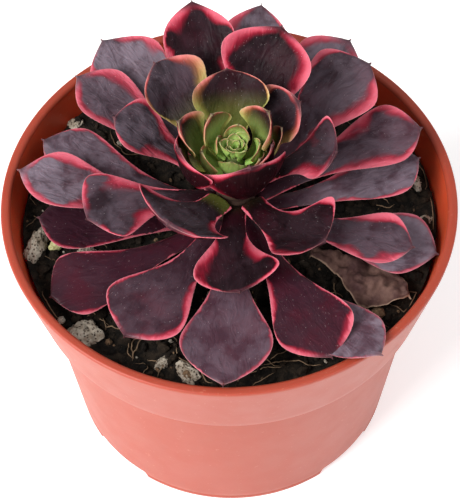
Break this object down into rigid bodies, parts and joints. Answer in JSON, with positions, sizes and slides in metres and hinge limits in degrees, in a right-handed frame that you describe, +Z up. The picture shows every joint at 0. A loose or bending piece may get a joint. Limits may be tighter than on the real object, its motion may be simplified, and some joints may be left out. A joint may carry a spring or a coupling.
{
  "type": "potted rosette succulent",
  "caption": "Dark red rosette succulent with a green heart, growing from soil in a round collared plastic grower's pot that stands on its foot ring.",
  "frame": {"origin": "centre of the pot's foot, on the surface it stands on", "axes": "+Z up along the pot's axis, -Y towards the side that faces the viewer, +X to the viewer's right"},
  "size_m": [0.105, 0.105, 0.101],
  "materials": {
    "pot_plastic": "satin moulded polypropylene",
    "potting_soil": "loose dark peat compost",
    "stem": "short woody stem",
    "outer_leaf": "matte waxy leaf, plum to grey with a magenta margin",
    "middle_leaf": "matte waxy leaf, dark maroon with a pink margin",
    "inner_leaf": "waxy leaf, maroon turning olive green at the base",
    "heart_leaf": "young waxy leaf, green with a pale edge",
    "dried_leaf": "withered leaf, wrinkled brown",
    "pumice": "rough porous crumb",
    "fallen_bud": "pale green dropped bud"
  },
  "bodies": {
    "root": {"dried_leaf": "dried_leaf", "fallen_bud": "fallen_bud", "heart_leaf_01": "heart_leaf", "heart_leaf_02": "heart_leaf", "heart_leaf_03": "heart_leaf", "heart_leaf_04": "heart_leaf", "heart_leaf_05": "heart_leaf", "heart_leaf_06": "heart_leaf", "heart_leaf_07": "heart_leaf", "inner_leaf_01": "inner_leaf", "inner_leaf_02": "inner_leaf", "inner_leaf_03": "inner_leaf", "inner_leaf_04": "inner_leaf", "inner_leaf_05": "inner_leaf", "inner_leaf_06": "inner_leaf", "inner_leaf_07": "inner_leaf", "middle_leaf_01": "middle_leaf", "middle_leaf_02": "middle_leaf", "middle_leaf_03": "middle_leaf", "middle_leaf_04": "middle_leaf", "middle_leaf_05": "middle_leaf", "middle_leaf_06": "middle_leaf", "middle_leaf_07": "middle_leaf", "middle_leaf_08": "middle_leaf", "middle_leaf_09": "middle_leaf", "middle_leaf_10": "middle_leaf", "outer_leaf_01": "outer_leaf", "outer_leaf_02": "outer_leaf", "outer_leaf_03": "outer_leaf", "outer_leaf_04": "outer_leaf", "outer_leaf_05": "outer_leaf", "outer_leaf_06": "outer_leaf", "outer_leaf_07": "outer_leaf", "outer_leaf_08": "outer_leaf", "outer_leaf_09": "outer_leaf", "outer_leaf_10": "outer_leaf", "outer_leaf_11": "outer_leaf", "outer_leaf_12": "outer_leaf", "outer_leaf_13": "outer_leaf", "outer_leaf_14": "outer_leaf", "outer_leaf_15": "outer_leaf", "outer_leaf_16": "outer_leaf", "outer_leaf_17": "outer_leaf", "outer_leaf_18": "outer_leaf", "pot": "pot_plastic", "pumice_back_left": "pumice", "pumice_front_a": "pumice", "pumice_front_b": "pumice", "pumice_front_left": "pumice", "pumice_left": "pumice", "pumice_left_small": "pumice", "pumice_right": "pumice", "pumice_right_front": "pumice", "soil": "potting_soil", "stem": "stem"}
  },
  "joints": []
}
